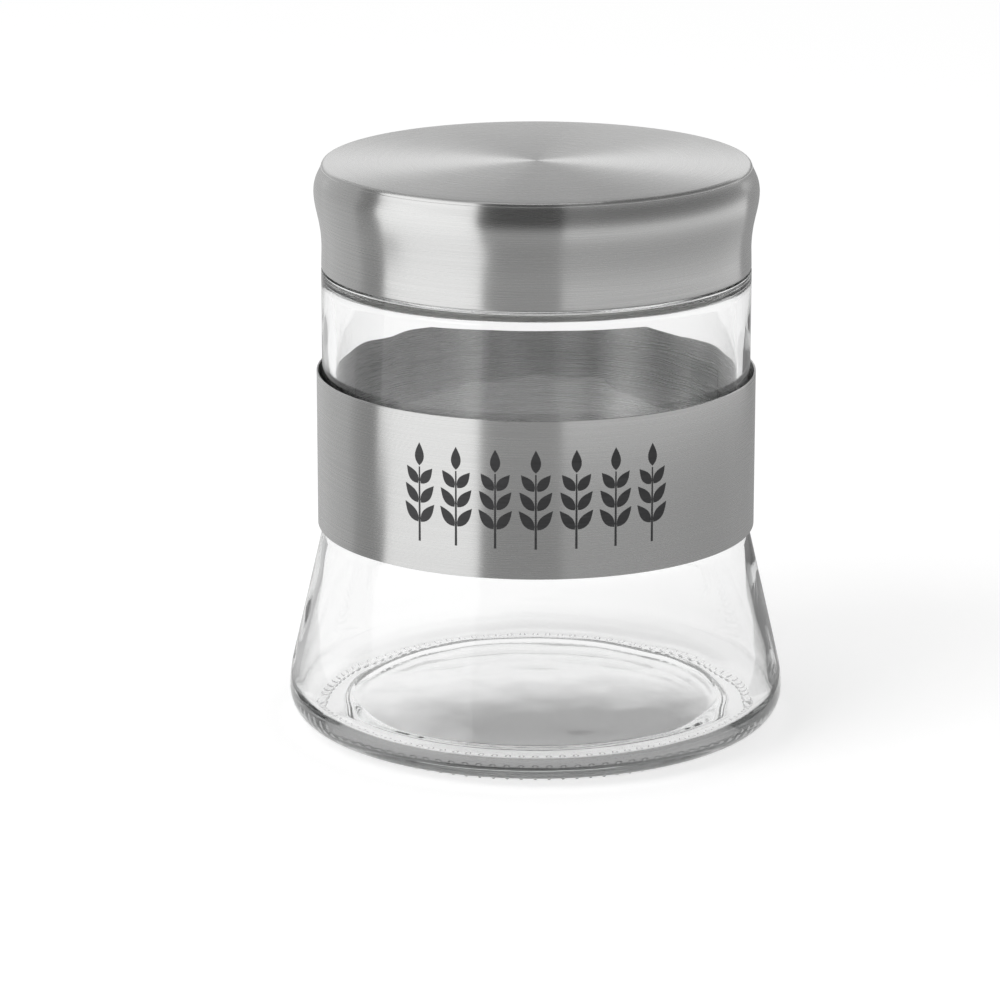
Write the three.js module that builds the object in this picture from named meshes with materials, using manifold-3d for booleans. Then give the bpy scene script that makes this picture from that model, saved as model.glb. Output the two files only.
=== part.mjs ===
// A glass tea jar: a pressed glass body with a flared foot and a four-start screw neck, a brushed steel
// band taped round its waist, and a steel lid that holds a threaded plastic insert and a sealing ring.
// Millimetres, +Z up. The origin is the centre of the circle that the jar stands on; the front faces -Y.

import * as THREE from "three";
import { mergeGeometries, mergeVertices } from "three/addons/utils/BufferGeometryUtils.js";
import Module from "manifold-3d";

const wasm = await Module();
wasm.setup();

// Shared by all pieces
const CLEARANCE = 0.3; // between pieces that seat on each other
const SEGMENTS = 48; // facets round a turned piece
const CURVE_STEPS = 6; // facets along a wide curve of a profile
const ARC_STEPS = 3; // along a shallow or small arc
const FILLET_STEPS = 2; // along a fillet
const STEP_STEPS = 4; // along the step of the floor
const SINK = 0.5; // how far a joined feature starts inside the wall that carries it

// Glass body
const BODY_DIAMETER = 100.2; // the straight wall
const BODY_WALL = 3.2;
const FLARE_WALL = 2.6;
const FOOT_FLARE = 8.4; // how far the foot stands out past the straight wall
const FLARE_TOP = 49; // height where the flare runs out into the straight wall
const BLEND_RADIUS = 16; // flare into straight wall
const CROWN_RADIUS = 28; // foot into flare
const HEEL_RADIUS = 6.5; // foot into bearing ring
const BEARING_WIDTH = 7; // flat ring under the foot
const FLOOR_THICKNESS = 3.5; // above the bearing ring
const FLOOR_CORNER_RADIUS = 5; // floor into wall, inside
const PUSH_UP_STEP = 1.4; // from the bearing ring up to the edge of the hollow inside it
const PUSH_UP_SLOPE = 2; // width of that step
const PUSH_UP_RISE = 0.6; // how far the hollow rises from its edge to its middle
const DISC_STEP = 1.3; // inside, the floor stands up over the hollow as a round disc
const DISC_SLOPE = 3.5; // width of the disc's sloping edge
const STIPPLE_COUNT = 100; // bumps under the bearing ring
const STIPPLE_LENGTH = 3; // towards the axis
const STIPPLE_WIDTH = 1.6;
const STIPPLE_TIP_WIDTH = 0.8;
const STIPPLE_HEIGHT = 1.1;
const STIPPLE_SIDES = 6;

// Shoulder and neck
const WINDOW_HEIGHT = 24.2; // clear glass between the band and the shoulder
const SHOULDER_WIDTH = 4.4; // from the straight wall in to the neck
const SHOULDER_RADIUS = 0.4;
const SHOULDER_CURVE_DROP = 4.8; // the inside curve from the wall to the neck's bore starts this far down
const SHOULDER_CURVE_HEIGHT = 6.8;
const SHOULDER_CURVE_REACHES = [0.4, 0.65]; // at the bore, at the wall
const NECK_HEIGHT = 20.5;
const NECK_WALL = 3;
const NECK_FILLET = 2.5;
const RIM_RADIUS = 1.2;

// Screw thread, right-handed
const THREAD_STARTS = 4;
const THREAD_LEAD = 24; // rise in one turn
const THREAD_SWEEP = 100; // degrees covered by one ridge
const THREAD_DEPTH = 1.4;
const THREAD_ROOT_WIDTH = 2.4;
const THREAD_CREST_WIDTH = 1.2;
const THREAD_RIM_GAP = 4.5; // from the rim down to the ridges
const THREAD_FLANK_CLEARANCE = 0.4;
const THREAD_CREST_CLEARANCE = 0.7;
const RIDGE_STEPS = 20;
const RIDGE_FADE_STEPS = 3; // steps over which a ridge grows out of the wall
const RIDGE_LEAST_DEPTH = 0.15;

// Steel band and the tape behind it
const BAND_HEIGHT = 36.9;
const BAND_THICKNESS = 0.4;
const BAND_OVERLAP = 1.1; // how far the band reaches down over the start of the flare
const TAPE_THICKNESS = 0.3;
const TAPE_WIDTH = 14;
const TAPE_HEIGHT = 28;
const TAPE_STEPS = 4;
const TAPE_TURNS = { band_tape_front: 0, band_tape_right: 120, band_tape_left: 240 }; // degrees from the front

// Lid
const LID_GAP = 0.4; // between the glass shoulder and the lid's lower edge
const SHELL_THICKNESS = 0.5;
const SHELL_TOP_INSET = 0.1; // the flat top's edge, measured in from the waist
const SHELL_BULGE = 1.75; // the widest circle, measured out from the waist
const SHELL_BULGE_DROP = 6.7; // from the top down to the widest circle
const SHELL_WAIST_RISE = 4.6; // from the lower edge up to the waist
const SHELL_SHOULDER_REACHES = [0.33, 0.52]; // top to widest circle
const SHELL_SKIRT_REACHES = [0.3, 0.5]; // widest circle to waist
const HEM_FLARE = 0.1; // the lower edge, measured out from the waist
const HEM_WIDTH = 2; // the turned-in edge that holds the insert
const HEM_RADIUS = 0.4;
const INSERT_WALL = 1.35;
const INSERT_TOP_THICKNESS = 1.5;
const INSERT_CHAMFER = 1;
const SEAL_THICKNESS = 1.6;
const SEAL_SIDE_CLEARANCE = 0.5;
const SEAL_BEAD_DEPTH = 1.1; // the bead in the insert that keeps the seal from falling out
const SEAL_BEAD_HEIGHT = 1.4;

// Radii and heights that follow from these
const bodyRadius = BODY_DIAMETER / 2;
const footRadius = bodyRadius + FOOT_FLARE;
const bandBottom = FLARE_TOP - BAND_OVERLAP;
const tapeRadius = bodyRadius + CLEARANCE;
const bandInnerRadius = tapeRadius + TAPE_THICKNESS + CLEARANCE;
const shoulderHeight = bandBottom + BAND_HEIGHT + WINDOW_HEIGHT;
const rimHeight = shoulderHeight + NECK_HEIGHT;
const neckRadius = bodyRadius - SHOULDER_WIDTH;
const boreRadius = neckRadius - NECK_WALL;
const insertInnerRadius = neckRadius + THREAD_DEPTH + THREAD_CREST_CLEARANCE;
const insertOuterRadius = insertInnerRadius + INSERT_WALL;
const waistRadius = insertOuterRadius + CLEARANCE + SHELL_THICKNESS;

// Heights in the lid, measured up from its lower edge
const lidSeat = shoulderHeight + LID_GAP;
const insertBottom = SHELL_THICKNESS + CLEARANCE;
const sealBottom = rimHeight - lidSeat + CLEARANCE;
const sealTop = sealBottom + SEAL_THICKNESS;
const insertCeiling = sealTop + CLEARANCE;
const insertTop = insertCeiling + INSERT_TOP_THICKNESS;
const shellCeiling = insertTop + CLEARANCE;
const shellTop = shellCeiling + SHELL_THICKNESS;

// Height of the middle of a ridge where it starts: on the neck, and in the insert just below it
const threadRise = THREAD_LEAD * THREAD_SWEEP / 360;
const neckThreadHeight = rimHeight - THREAD_RIM_GAP - THREAD_ROOT_WIDTH / 2 - threadRise;
const flankTaper = (THREAD_ROOT_WIDTH - THREAD_CREST_WIDTH) / 2 / THREAD_DEPTH;
const threadDrop = THREAD_ROOT_WIDTH - flankTaper * (insertInnerRadius - neckRadius) + THREAD_FLANK_CLEARANCE;
const insertThreadHeight = neckThreadHeight - threadDrop - lidSeat;

const radians = THREE.MathUtils.degToRad;

// Profile points, as radius and height
const at = (radius, height) => new THREE.Vector2(radius, height);

function arc(centre, radius, from, to, steps) {
  const clockwise = to < from;
  return new THREE.EllipseCurve(
    centre.x, centre.y, radius, radius, radians(from), radians(to), clockwise,
  ).getPoints(steps);
}

// A curve that is upright at both ends; its reaches say how far each end's pull goes, as a share of its height.
function upright(first, last, [firstReach, lastReach]) {
  const firstHandle = at(first.x, first.y + (last.y - first.y) * firstReach);
  const lastHandle = at(last.x, last.y + (first.y - last.y) * lastReach);
  return new THREE.CubicBezierCurve(first, firstHandle, lastHandle, last).getPoints(CURVE_STEPS);
}

// A curve that is level at both ends.
function level(first, last) {
  const middle = (first.x + last.x) / 2;
  return new THREE.CubicBezierCurve(first, at(middle, first.y), at(middle, last.y), last).getPoints(STEP_STEPS);
}

// A turned solid from a profile that runs counter-clockwise and ends on the axis, or closes on itself.
function turned(profile) {
  const apart = profile.filter((point, i) => i === 0 || point.distanceTo(profile[i - 1]) > 1e-6);
  return new THREE.LatheGeometry(apart, SEGMENTS).rotateX(Math.PI / 2);
}

function ring(innerRadius, outerRadius, bottom, top) {
  const first = at(innerRadius, bottom);
  return turned([first, at(outerRadius, bottom), at(outerRadius, top), at(innerRadius, top), first]);
}

function solidOf(geometry) {
  const bare = geometry.clone();
  bare.deleteAttribute("normal");
  bare.deleteAttribute("uv");
  const merged = mergeVertices(bare);
  const vertProperties = merged.attributes.position.array;
  const triVerts = new Uint32Array(merged.index.array);
  return new wasm.Manifold(new wasm.Mesh({ numProp: 3, vertProperties, triVerts }));
}

function joined(geometry, additions) {
  const whole = additions.reduce((solid, extra) => solid.add(solidOf(extra)), solidOf(geometry));
  const mesh = whole.getMesh();
  const result = new THREE.BufferGeometry();
  result.setAttribute("position", new THREE.BufferAttribute(mesh.vertProperties, 3));
  result.setIndex(new THREE.BufferAttribute(mesh.triVerts, 1));
  result.computeVertexNormals();
  return result;
}

// One thread ridge: a four-sided section swept up a helix. It stands out of the wall at rootRadius, towards
// the axis or away from it, and sinks back into that wall at both ends.
function threadRidge(rootRadius, outward, turn, height) {
  const direction = outward ? 1 : -1;
  const foot = rootRadius - direction * SINK;
  const sections = Array.from({ length: RIDGE_STEPS + 1 }, (_, step) => {
    const share = step / RIDGE_STEPS;
    const fade = Math.min(step, RIDGE_STEPS - step) / RIDGE_FADE_STEPS;
    const crest = rootRadius + direction * THREAD_DEPTH * THREE.MathUtils.clamp(fade, RIDGE_LEAST_DEPTH, 1);
    const angle = radians(turn + share * THREAD_SWEEP);
    const middle = height + share * threadRise;
    const section = [
      [foot, -THREAD_ROOT_WIDTH / 2],
      [crest, -THREAD_CREST_WIDTH / 2],
      [crest, THREAD_CREST_WIDTH / 2],
      [foot, THREAD_ROOT_WIDTH / 2],
    ];
    return (outward ? section : section.reverse()).map(([radius, offset]) => {
      return [radius * Math.cos(angle), radius * Math.sin(angle), middle + offset];
    });
  });
  const corners = sections[0].length;
  const index = [];
  for (let step = 0; step < RIDGE_STEPS; step += 1) {
    for (let corner = 0; corner < corners; corner += 1) {
      const here = step * corners + corner;
      const beside = step * corners + (corner + 1) % corners;
      index.push(beside, here, here + corners, beside, here + corners, beside + corners);
    }
  }
  const end = RIDGE_STEPS * corners;
  index.push(0, 1, 2, 0, 2, 3, end, end + 2, end + 1, end, end + 3, end + 2);
  const ridge = new THREE.BufferGeometry();
  ridge.setAttribute("position", new THREE.Float32BufferAttribute(sections.flat(2), 3));
  ridge.setIndex(index);
  return ridge;
}

function thread(rootRadius, outward, height) {
  return Array.from({ length: THREAD_STARTS }, (_, start) => {
    return threadRidge(rootRadius, outward, start * 360 / THREAD_STARTS, height);
  });
}

// The bumps that the jar stands on, at the outer edge of the bearing ring.
function stipples() {
  const height = STIPPLE_HEIGHT + SINK;
  const ringRadius = footRadius - HEEL_RADIUS - STIPPLE_LENGTH / 2;
  const bumps = Array.from({ length: STIPPLE_COUNT }, (_, i) => {
    const angle = i * 2 * Math.PI / STIPPLE_COUNT - Math.PI / 2;
    return new THREE.CylinderGeometry(STIPPLE_WIDTH / 2, STIPPLE_TIP_WIDTH / 2, height, STIPPLE_SIDES)
      .rotateX(Math.PI / 2)
      .scale(STIPPLE_LENGTH / STIPPLE_WIDTH, 1, 1)
      .rotateZ(angle)
      .translate(ringRadius * Math.cos(angle), ringRadius * Math.sin(angle), height / 2);
  });
  return mergeGeometries(bumps);
}

function glassJar() {
  const bearing = STIPPLE_HEIGHT;
  const bearingOuter = footRadius - HEEL_RADIUS;
  const bearingInner = bearingOuter - BEARING_WIDTH;
  const hollowRadius = bearingInner - PUSH_UP_SLOPE;
  const hollowEdge = bearing + PUSH_UP_STEP;
  const hollowTop = hollowEdge + PUSH_UP_RISE;
  const floor = bearing + FLOOR_THICKNESS;
  const discTop = floor + DISC_STEP;
  const innerRadius = bodyRadius - BODY_WALL;

  // The flare is the straight line that touches the foot's crown and the blend into the upright wall.
  const heelCentre = at(bearingOuter, bearing + HEEL_RADIUS);
  const crownCentre = at(footRadius - CROWN_RADIUS, heelCentre.y);
  const blendCentre = at(bodyRadius + BLEND_RADIUS, FLARE_TOP);
  const across = blendCentre.clone().sub(crownCentre);
  const slope = across.angle() - Math.acos((CROWN_RADIUS + BLEND_RADIUS) / across.length());
  const normal = at(Math.cos(slope), Math.sin(slope));
  const slopeDegrees = THREE.MathUtils.radToDeg(slope);

  // Inside, the flare runs parallel at its own wall, and two arcs touch it: one to the wall, one to the floor.
  const innerFlare = crownCentre.dot(normal) + CROWN_RADIUS - FLARE_WALL;
  const innerBlendRadius = BLEND_RADIUS + BODY_WALL;
  const innerBlendX = innerRadius + innerBlendRadius;
  const innerBlendCentre = at(
    innerBlendX, (innerFlare + innerBlendRadius - innerBlendX * normal.x) / normal.y,
  );
  const cornerHeight = floor + FLOOR_CORNER_RADIUS;
  const cornerCentre = at(
    (innerFlare - FLOOR_CORNER_RADIUS - cornerHeight * normal.y) / normal.x, cornerHeight,
  );

  const shoulderCentre = at(bodyRadius - SHOULDER_RADIUS, shoulderHeight - SHOULDER_RADIUS);
  const filletCentre = at(neckRadius + NECK_FILLET, shoulderHeight + NECK_FILLET);
  const wallTop = at(innerRadius, shoulderHeight - SHOULDER_CURVE_DROP);
  const boreFoot = at(boreRadius, wallTop.y + SHOULDER_CURVE_HEIGHT);

  const profile = [
    ...new THREE.QuadraticBezierCurve(
      at(0, hollowTop), at(hollowRadius / 2, hollowTop), at(hollowRadius, hollowEdge),
    ).getPoints(ARC_STEPS),
    ...level(at(hollowRadius, hollowEdge), at(bearingInner, bearing)),
    ...arc(heelCentre, HEEL_RADIUS, -90, 0, CURVE_STEPS),
    ...arc(crownCentre, CROWN_RADIUS, 0, slopeDegrees, ARC_STEPS),
    ...arc(blendCentre, BLEND_RADIUS, 180 + slopeDegrees, 180, ARC_STEPS),
    ...arc(shoulderCentre, SHOULDER_RADIUS, 0, 90, ARC_STEPS),
    ...arc(filletCentre, NECK_FILLET, 270, 180, FILLET_STEPS),
    ...arc(at(neckRadius - RIM_RADIUS, rimHeight - RIM_RADIUS), RIM_RADIUS, 0, 90, FILLET_STEPS),
    ...arc(at(boreRadius + RIM_RADIUS, rimHeight - RIM_RADIUS), RIM_RADIUS, 90, 180, FILLET_STEPS),
    ...upright(boreFoot, wallTop, SHOULDER_CURVE_REACHES),
    ...arc(innerBlendCentre, innerBlendRadius, 180, 180 + slopeDegrees, ARC_STEPS),
    ...arc(cornerCentre, FLOOR_CORNER_RADIUS, slopeDegrees, -90, CURVE_STEPS),
    ...level(at(hollowRadius + DISC_SLOPE, floor), at(hollowRadius, discTop)),
    at(0, discTop),
  ];
  return joined(turned(profile), [stipples(), ...thread(neckRadius, true, neckThreadHeight)]);
}

function steelBand() {
  return ring(bandInnerRadius, bandInnerRadius + BAND_THICKNESS, bandBottom, bandBottom + BAND_HEIGHT);
}

// A strip of double-sided tape behind the band, centred on the front.
function bandTape() {
  const outerRadius = tapeRadius + TAPE_THICKNESS;
  const half = TAPE_WIDTH / 2 / bodyRadius;
  const front = -Math.PI / 2;
  const outline = new THREE.Shape()
    .absarc(0, 0, outerRadius, front - half, front + half, false)
    .absarc(0, 0, tapeRadius, front + half, front - half, true)
    .closePath();
  const options = { depth: TAPE_HEIGHT, bevelEnabled: false, curveSegments: TAPE_STEPS };
  const bottom = bandBottom + (BAND_HEIGHT - TAPE_HEIGHT) / 2;
  return new THREE.ExtrudeGeometry(outline, options).translate(0, 0, bottom);
}

// The drawn side of the lid's shell from its flat top down to its waist, on the outside or one wall in.
function shellSide(inset) {
  const top = at(waistRadius - SHELL_TOP_INSET - inset, shellTop - inset);
  const bulge = at(waistRadius + SHELL_BULGE - inset, shellTop - SHELL_BULGE_DROP);
  const waist = at(waistRadius - inset, SHELL_WAIST_RISE);
  return [...upright(top, bulge, SHELL_SHOULDER_REACHES), ...upright(bulge, waist, SHELL_SKIRT_REACHES)];
}

function lidShell() {
  const hemRadius = waistRadius + HEM_FLARE;
  return turned([
    at(0, shellCeiling),
    ...shellSide(SHELL_THICKNESS),
    at(hemRadius - SHELL_THICKNESS, SHELL_THICKNESS),
    at(hemRadius - HEM_WIDTH, SHELL_THICKNESS),
    at(hemRadius - HEM_WIDTH, 0),
    ...arc(at(hemRadius - HEM_RADIUS, HEM_RADIUS), HEM_RADIUS, -90, 0, ARC_STEPS),
    ...shellSide(0).reverse(),
    at(0, shellTop),
  ]);
}

function lidInsert() {
  const beadTop = sealBottom - CLEARANCE;
  const cup = turned([
    at(0, insertCeiling),
    at(insertInnerRadius, insertCeiling),
    at(insertInnerRadius, beadTop),
    at(insertInnerRadius - SEAL_BEAD_DEPTH, beadTop - SEAL_BEAD_HEIGHT / 2),
    at(insertInnerRadius, beadTop - SEAL_BEAD_HEIGHT),
    at(insertInnerRadius, insertBottom),
    at(insertOuterRadius, insertBottom),
    at(insertOuterRadius, insertTop - INSERT_CHAMFER),
    at(insertOuterRadius - INSERT_CHAMFER, insertTop),
    at(0, insertTop),
  ]);
  return joined(cup, thread(insertInnerRadius, false, insertThreadHeight));
}

function lidSeal() {
  return ring(boreRadius + CLEARANCE, insertInnerRadius - SEAL_SIDE_CLEARANCE, sealBottom, sealTop);
}

const glass = { color: 0xf3f7f6, roughness: 0.04, metalness: 0, transparent: true, opacity: 0.4 };
const brushedSteel = { color: 0xb4b3b0, roughness: 0.34, metalness: 1 };
const whitePlastic = { color: 0xf0efea, roughness: 0.45, metalness: 0 };
const silicone = { color: 0xe4e4df, roughness: 0.6, metalness: 0 };
const clearTape = { color: 0xdfe3e2, roughness: 0.5, metalness: 0 };

function piece(name, geometry, finish) {
  const mesh = new THREE.Mesh(geometry, new THREE.MeshStandardMaterial(finish));
  mesh.name = name;
  return mesh;
}

const lid = new THREE.Group();
lid.position.z = lidSeat;
lid.add(
  piece("lid_shell", lidShell(), brushedSteel),
  piece("lid_insert", lidInsert(), whitePlastic),
  piece("lid_seal", lidSeal(), silicone),
);

const jar = new THREE.Group();
jar.add(
  piece("glass_jar", glassJar(), glass),
  piece("steel_band", steelBand(), brushedSteel),
);
for (const [name, turn] of Object.entries(TAPE_TURNS)) {
  const tape = piece(name, bandTape(), clearTape);
  tape.rotation.z = radians(turn);
  jar.add(tape);
}
jar.add(lid);

export default jar;
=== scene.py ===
# %% [markdown]
# # A glass tea jar with a steel band and a screw lid
# The CAD model comes first and stays as it is: it says where every piece sits and what it moves with. This
# script dresses it. Each piece of the jar gets a finer mesh than a solid model needs, and a finish made of
# shader nodes. The jar's lengths are written in millimetres and turned into metres where they are used.

# %% Load the frame
import math

import bmesh
import bpy
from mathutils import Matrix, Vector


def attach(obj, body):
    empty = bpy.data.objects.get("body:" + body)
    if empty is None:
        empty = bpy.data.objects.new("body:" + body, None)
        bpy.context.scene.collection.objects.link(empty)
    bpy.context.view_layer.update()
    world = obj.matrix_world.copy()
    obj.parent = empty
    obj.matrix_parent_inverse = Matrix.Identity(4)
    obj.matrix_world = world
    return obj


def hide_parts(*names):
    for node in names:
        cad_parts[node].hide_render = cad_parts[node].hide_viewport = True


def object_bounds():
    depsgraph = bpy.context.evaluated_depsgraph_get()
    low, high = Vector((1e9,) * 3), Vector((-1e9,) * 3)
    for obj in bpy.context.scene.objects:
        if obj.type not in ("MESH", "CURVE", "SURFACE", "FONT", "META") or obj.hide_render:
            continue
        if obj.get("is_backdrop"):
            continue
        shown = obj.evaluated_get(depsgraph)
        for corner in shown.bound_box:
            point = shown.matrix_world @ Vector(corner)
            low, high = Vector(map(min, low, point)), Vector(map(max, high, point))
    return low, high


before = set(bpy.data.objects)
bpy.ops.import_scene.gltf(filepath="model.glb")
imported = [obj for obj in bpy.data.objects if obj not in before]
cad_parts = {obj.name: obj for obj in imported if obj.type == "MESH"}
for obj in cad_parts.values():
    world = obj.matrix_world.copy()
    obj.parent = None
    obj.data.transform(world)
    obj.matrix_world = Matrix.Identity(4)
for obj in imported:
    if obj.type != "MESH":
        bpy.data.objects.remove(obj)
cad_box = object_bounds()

MM = 0.001
LONGEST_PATH = 32  # light meets many walls before it leaves the glass
GLASS_PATH = 24

scene = bpy.context.scene
scene.view_settings.view_transform = "Standard"
scene.cycles.max_bounces = LONGEST_PATH
scene.cycles.glossy_bounces = GLASS_PATH
scene.cycles.transmission_bounces = GLASS_PATH
print("CAD nodes:", ", ".join(sorted(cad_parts)))
print("CAD box in mm:", [round(value / MM, 1) for corner in cad_box for value in corner])

# %% [markdown]
# ## Camera
# The jar was photographed from a little above with a long lens, so its sides stay almost parallel. Four
# ellipses of the jar (lid, shoulder, band and foot) fix the height, the tilt and the lens: the flatter
# the lid's ellipse against the foot's, the closer the camera. A small turn to the left puts the jar right
# of the middle, which keeps the lens shift at zero.

# %% Camera
CAMERA_PLACE = (0.0, -1.040, 0.3374)  # metres
CAMERA_TILT = 15.32  # degrees below the horizontal
CAMERA_TURN = 0.466  # degrees to the left
CAMERA_LENS = 164.4

lens = bpy.data.cameras.new("camera")
lens.lens = CAMERA_LENS
camera = bpy.data.objects.new("camera", lens)
camera.location = CAMERA_PLACE
camera.rotation_euler = (math.radians(90 - CAMERA_TILT), 0, math.radians(CAMERA_TURN))
scene.collection.objects.link(camera)
scene.camera = camera
print(f"camera {abs(CAMERA_PLACE[1]):.2f} m in front of the jar, lens {CAMERA_LENS} mm")

# %% [markdown]
# ## Arithmetic with nodes
# Geometry and shader trees use the same Math node. A small class that turns +, -, * and / into Math nodes
# lets a rule be read as a formula, and the tree it builds can still be opened and changed in the node
# editor.


# %% A number on a socket
class Field:
    """A number in a node tree. Arithmetic on it adds Math nodes to that tree."""

    def __init__(self, tree, socket):
        self.tree = tree
        self.socket = socket

    def math(self, operation, *others):
        node = self.tree.nodes.new("ShaderNodeMath")
        node.operation = operation
        for socket, value in zip(node.inputs, (self, *others)):
            feed(self.tree, socket, value)
        return Field(self.tree, node.outputs[0])

    def __add__(self, other):
        return self.math("ADD", other)

    def __sub__(self, other):
        return self.math("SUBTRACT", other)

    def __mul__(self, other):
        return self.math("MULTIPLY", other)

    def __truediv__(self, other):
        return self.math("DIVIDE", other)

    def clamped(self):
        return self.math("MAXIMUM", 0.0).math("MINIMUM", 1.0)


def feed(tree, socket, value):
    """Link a field or a socket, or set a plain value."""
    if isinstance(value, Field):
        value = value.socket
    if isinstance(value, bpy.types.NodeSocket):
        tree.links.new(value, socket)
    else:
        socket.default_value = value


def add_node(tree, kind, settings=None, **inputs):
    """Add a node. Settings are its options; inputs are named as its sockets, with _ for a space."""
    node = tree.nodes.new(kind)
    for name, value in (settings or {}).items():
        setattr(node, name, value)
    for name, value in inputs.items():
        feed(tree, node.inputs[name.replace("_", " ")], value)
    return node


def split(tree, vector):
    """The x, y and z of a vector, as fields."""
    node = add_node(tree, "ShaderNodeSeparateXYZ", Vector=vector)
    return [Field(tree, socket) for socket in node.outputs]


def combine(tree, x, y, z):
    return add_node(tree, "ShaderNodeCombineXYZ", X=x, Y=y, Z=z).outputs[0]


print("node arithmetic ready")

# %% [markdown]
# ## Geometry trees
# A geometry tree is a recipe with named inputs. It is put on an object as a modifier, its inputs are set
# through the sockets' identifiers, and at the end the result is taken as a plain mesh, so that nothing
# depends on the recipe any more.

# %% Geometry tree helpers
SOCKETS = {
    "Count": "NodeSocketInt",
    "Starts": "NodeSocketInt",
    "Segments": "NodeSocketInt",
    "Material": "NodeSocketMaterial",
}


def geometry_tree(name, *inputs):
    """A new tree with a geometry input and output, and named inputs for its sizes."""
    tree = bpy.data.node_groups.new(name, "GeometryNodeTree")
    tree.interface.new_socket("Geometry", in_out="INPUT", socket_type="NodeSocketGeometry")
    for label in inputs:
        kind = SOCKETS.get(label, "NodeSocketFloat")
        tree.interface.new_socket(label, in_out="INPUT", socket_type=kind)
    tree.interface.new_socket("Geometry", in_out="OUTPUT", socket_type="NodeSocketGeometry")
    given = {socket.name: socket for socket in tree.nodes.new("NodeGroupInput").outputs if socket.name}
    fields = {label: Field(tree, given[label]) for label in inputs if label != "Material"}
    return tree, given, fields


def give_out(tree, geometry, material):
    """End a tree: instances become real, and every face gets the material."""
    real = add_node(tree, "GeometryNodeRealizeInstances", Geometry=geometry)
    painted = add_node(tree, "GeometryNodeSetMaterial", Geometry=real.outputs[0], Material=material)
    tree.links.new(painted.outputs[0], tree.nodes.new("NodeGroupOutput").inputs[0])


def follow(piece, tree, **values):
    """Put a tree on a piece and set its inputs."""
    modifier = piece.modifiers.new(tree.name, "NODES")
    modifier.node_group = tree
    for item in tree.interface.items_tree:
        key = item.name.replace(" ", "_").lower()
        if item.in_out == "INPUT" and key in values:
            modifier[item.identifier] = values[key]


print("geometry tree helpers ready")

# %% Piece helpers
SHARP_ANGLE = math.radians(32)
CUBIC_CM = 1e-6


def new_piece(name, points, faces=()):
    """An object at the origin from points in millimetres."""
    mesh = bpy.data.meshes.new(name)
    mesh.from_pydata([tuple(value * MM for value in point) for point in points], [], faces)
    piece = bpy.data.objects.new(name, mesh)
    scene.collection.objects.link(piece)
    return piece


def settle(piece):
    """Turn what the modifiers make into a plain mesh, and take the modifiers off."""
    evaluated = piece.evaluated_get(bpy.context.evaluated_depsgraph_get())
    mesh = bpy.data.meshes.new_from_object(evaluated)
    piece.modifiers.clear()
    piece.data = mesh
    mesh.shade_smooth()
    mesh.set_sharp_from_angle(angle=SHARP_ANGLE)
    shape = bmesh.new()
    shape.from_mesh(mesh)
    volume = shape.calc_volume(signed=True) / CUBIC_CM
    loose = sum(not edge.is_manifold for edge in shape.edges)
    triangles = sum(len(face.verts) - 2 for face in shape.faces)
    shape.free()
    print(f"{piece.name}: {triangles} triangles, {volume:.2f} cm3, {loose} open edges")


print("piece helpers ready")

# %% The turned-piece tree
ROW_NUDGE = 0.0005  # keeps a whole number from being rounded down
WELD = 1e-6  # metres


def turned_piece_tree():
    """Turns the object's own points, a profile of (radius, 0, height), into a body round the z axis."""
    tree, given, size = geometry_tree("Turned piece", "Segments", "Material")
    profile = add_node(tree, "GeometryNodeAttributeDomainSize", Geometry=given["Geometry"])
    columns = size["Segments"] + 1
    grid = add_node(
        tree, "GeometryNodeMeshGrid", Vertices_X=profile.outputs["Point Count"], Vertices_Y=columns,
    )
    index = Field(tree, tree.nodes.new("GeometryNodeInputIndex").outputs[0])
    row = (index / columns + ROW_NUDGE).math("FLOOR")
    angle = (index - row * columns) / size["Segments"] * -math.tau
    position = tree.nodes.new("GeometryNodeInputPosition").outputs[0]
    place = add_node(
        tree, "GeometryNodeSampleIndex", {"data_type": "FLOAT_VECTOR"},
        Geometry=given["Geometry"], Value=position, Index=row,
    )
    radius, _, height = split(tree, place.outputs[0])
    around = combine(tree, radius * angle.math("COSINE"), radius * angle.math("SINE"), height)
    moved = add_node(tree, "GeometryNodeSetPosition", Geometry=grid.outputs["Mesh"], Position=around)
    closed = add_node(tree, "GeometryNodeMergeByDistance", Geometry=moved.outputs[0], Distance=WELD)
    give_out(tree, closed.outputs[0], given["Material"])
    return tree


TURNED_PIECE = turned_piece_tree()
print("Turned piece tree:", len(TURNED_PIECE.nodes), "nodes")

# %% [markdown]
# ## Profiles
# Almost everything here was turned, drawn or pressed round one axis, so a piece is a profile of radius and
# height. The profile runs so that the material is on its left: out along the bottom, up the outside, back
# along the inside. Four helpers give its arcs, its straight runs and its two kinds of soft S-curve, and a
# fifth gives the section of a flat ring with rounded edges.

# %% Profile helpers
SAME_POINT = 1e-3


def arc(centre, radius, start, end, steps):
    """Points on an arc, with the angles in degrees."""
    angles = [math.radians(start + (end - start) * step / steps) for step in range(steps + 1)]
    return [(centre[0] + radius * math.cos(a), centre[1] + radius * math.sin(a)) for a in angles]


def run(first, last, steps):
    """Points on a straight run, without its ends."""
    shares = [step / steps for step in range(1, steps)]
    return [tuple(a + (b - a) * share for a, b in zip(first, last)) for share in shares]


def upright(first, last, reaches, steps):
    """A curve that is upright at both ends; a reach is how far an end's pull goes."""
    rise = last[1] - first[1]
    handles = ((first[0], first[1] + rise * reaches[0]), (last[0], last[1] - rise * reaches[1]))
    corners = (first, *handles, last)
    points = []
    for step in range(steps + 1):
        t = step / steps
        weights = ((1 - t) ** 3, 3 * t * (1 - t) ** 2, 3 * t * t * (1 - t), t ** 3)
        points.append(tuple(sum(w * c[axis] for w, c in zip(weights, corners)) for axis in (0, 1)))
    return points


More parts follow.
